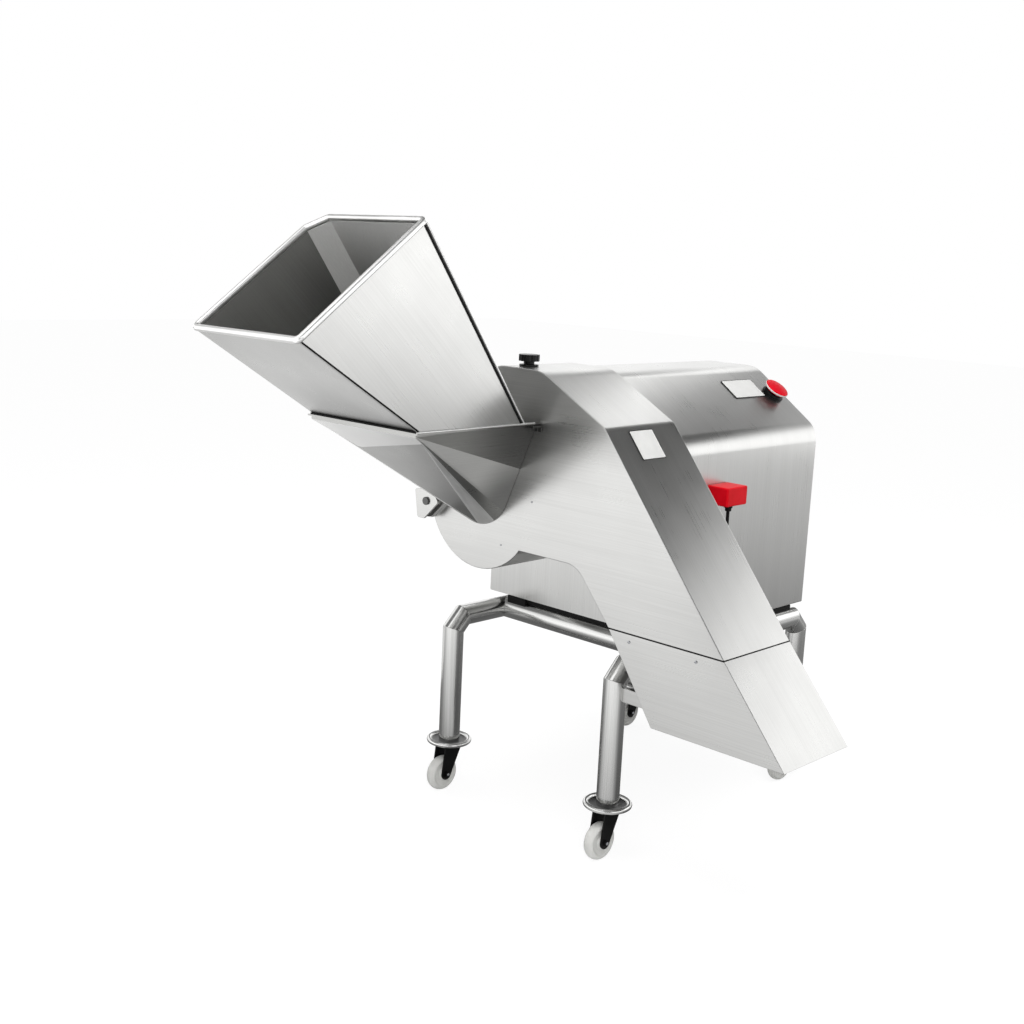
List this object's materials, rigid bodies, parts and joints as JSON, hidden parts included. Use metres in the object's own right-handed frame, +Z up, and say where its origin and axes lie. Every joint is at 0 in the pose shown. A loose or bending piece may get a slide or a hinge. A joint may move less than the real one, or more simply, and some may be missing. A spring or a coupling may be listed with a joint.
{
  "type": "industrial vegetable dicer",
  "caption": "Floor-standing stainless vegetable dicer: swing-away feed hopper, cutting drum with geared knives, sloping discharge chute, drive cabinet and tube frame on casters.",
  "frame": {"origin": "centre of the machine's box on the floor", "axes": "+X towards the discharge chute, +Y from the hopper to the cabinet's rear, +Z up"},
  "size_m": [1.222, 1.7471, 1.6],
  "materials": {
    "brushed_stainless": "brushed stainless sheet and tube",
    "machined_steel": "turned and ground steel",
    "cast_iron": "painted casting",
    "black_rubber": "matt black rubber",
    "black_plastic": "fine-grained black plastic",
    "red_plastic": "glossy red plastic",
    "white_nylon": "satin white nylon",
    "motor_paint": "painted motor frame"
  },
  "bodies": {
    "machine": {"leg_front_left": "brushed_stainless", "leg_front_right": "brushed_stainless", "leg_rear_left": "brushed_stainless", "leg_rear_right": "brushed_stainless", "side_rail_left": "brushed_stainless", "side_rail_right": "brushed_stainless", "cross_tube_front": "brushed_stainless", "cross_tube_rear": "brushed_stainless", "foot_flanges": "brushed_stainless", "chute_stay": "brushed_stainless", "mounting_pads": "black_rubber", "cabinet_shell": "brushed_stainless", "cabinet_floor": "brushed_stainless", "cabinet_bulkhead": "brushed_stainless", "cabinet_rear_panel": "brushed_stainless", "mains_gland": "black_plastic", "housing_front_plate": "brushed_stainless", "housing_band": "brushed_stainless", "housing_back_plate": "brushed_stainless", "chute_sleeve": "brushed_stainless", "chute_extension": "brushed_stainless", "drum_case": "brushed_stainless", "slice_knife": "machined_steel", "stripper_comb": "brushed_stainless", "bearing_housings": "cast_iron", "rear_bearing_block": "cast_iron", "motor_body": "motor_paint", "drive_belt": "black_rubber", "interlock_switch": "red_plastic", "interlock_cable": "black_rubber", "stop_collar": "black_plastic", "knob_collar": "black_plastic", "hinge_bracket": "brushed_stainless", "hinge_pin": "machined_steel", "hopper_rest": "brushed_stainless"},
    "impeller_rotor": {"impeller": "brushed_stainless", "impeller_shaft": "machined_steel", "impeller_gear": "machined_steel", "driven_pulley": "cast_iron"},
    "crosscut_rotor": {"crosscut_spindle": "machined_steel", "crosscut_knives": "brushed_stainless", "crosscut_gear": "machined_steel"},
    "disc_rotor": {"disc_shaft": "machined_steel", "disc_knives": "brushed_stainless", "disc_gear": "machined_steel"},
    "motor_rotor": {"motor_pulley": "cast_iron"},
    "hopper": {"hopper_funnel": "brushed_stainless", "hopper_rim": "brushed_stainless", "hopper_trough": "brushed_stainless", "hopper_lug": "brushed_stainless"},
    "knob": {"clamp_knob": "black_plastic"},
    "stop": {"stop_button": "red_plastic"},
    "caster_front_left": {"caster_fork_front_left": "black_plastic"},
    "wheel_front_left": {"caster_wheel_front_left": "white_nylon"},
    "caster_front_right": {"caster_fork_front_right": "black_plastic"},
    "wheel_front_right": {"caster_wheel_front_right": "white_nylon"},
    "caster_rear_left": {"caster_fork_rear_left": "black_plastic"},
    "wheel_rear_left": {"caster_wheel_rear_left": "white_nylon"},
    "caster_rear_right": {"caster_fork_rear_right": "black_plastic"},
    "wheel_rear_right": {"caster_wheel_rear_right": "white_nylon"}
  },
  "joints": [
    {"name": "impeller_spin", "type": "hinge", "parent": "machine", "child": "impeller_rotor", "pos_m": [-0.379, 0.01563, 0.888], "axis": [0, -1, 0], "continuous": true},
    {"name": "crosscut_spin", "type": "hinge", "parent": "machine", "child": "crosscut_rotor", "pos_m": [-0.16111, 0.01563, 0.97603], "axis": [0, -1, 0], "continuous": true},
    {"name": "disc_spin", "type": "hinge", "parent": "machine", "child": "disc_rotor", "pos_m": [-0.05387, 0.01563, 0.88604], "axis": [0, -1, 0], "continuous": true},
    {"name": "motor_spin", "type": "hinge", "parent": "machine", "child": "motor_rotor", "pos_m": [-0.135, 0.30563, 0.664], "axis": [0, -1, 0], "continuous": true},
    {"name": "hopper_swing", "type": "hinge", "parent": "machine", "child": "hopper", "pos_m": [-0.544, -0.14036, 0.855], "axis": [0, -1, 0], "range_deg": [0, 95]},
    {"name": "knob_turn", "type": "hinge", "parent": "machine", "child": "knob", "pos_m": [-0.282, -0.05237, 1.241], "axis": [0, 0, 1], "continuous": true},
    {"name": "stop_press", "type": "slide", "parent": "machine", "child": "stop", "axis": [-0.5822, 0, -0.813], "range_m": [0, 0.005], "stiffness_N_per_m": 1000, "springref_m": -0.003},
    {"name": "swivel_front_left", "type": "hinge", "parent": "machine", "child": "caster_front_left", "pos_m": [-0.547, -0.02936, 0.138], "axis": [0, 0, 1], "continuous": true},
    {"name": "roll_front_left", "type": "hinge", "parent": "caster_front_left", "child": "wheel_front_left", "pos_m": [-0.547, -0.05436, 0.05], "axis": [1, 0, 0], "continuous": true},
    {"name": "swivel_front_right", "type": "hinge", "parent": "machine", "child": "caster_front_right", "pos_m": [0.049, -0.02936, 0.138], "axis": [0, 0, 1], "continuous": true},
    {"name": "roll_front_right", "type": "hinge", "parent": "caster_front_right", "child": "wheel_front_right", "pos_m": [0.049, -0.05436, 0.05], "axis": [1, 0, 0], "continuous": true},
    {"name": "swivel_rear_left", "type": "hinge", "parent": "machine", "child": "caster_rear_left", "pos_m": [-0.547, 0.80963, 0.138], "axis": [0, 0, 1], "continuous": true},
    {"name": "roll_rear_left", "type": "hinge", "parent": "caster_rear_left", "child": "wheel_rear_left", "pos_m": [-0.547, 0.78463, 0.05], "axis": [1, 0, 0], "continuous": true},
    {"name": "swivel_rear_right", "type": "hinge", "parent": "machine", "child": "caster_rear_right", "pos_m": [0.049, 0.80963, 0.138], "axis": [0, 0, 1], "continuous": true},
    {"name": "roll_rear_right", "type": "hinge", "parent": "caster_rear_right", "child": "wheel_rear_right", "pos_m": [0.049, 0.78463, 0.05], "axis": [1, 0, 0], "continuous": true}
  ],
  "couplings": [
    {"joint": "crosscut_spin", "follows": "impeller_spin", "ratio": -1.9375},
    {"joint": "disc_spin", "follows": "impeller_spin", "ratio": 2.5833},
    {"joint": "motor_spin", "follows": "impeller_spin", "ratio": 3.0667}
  ]
}
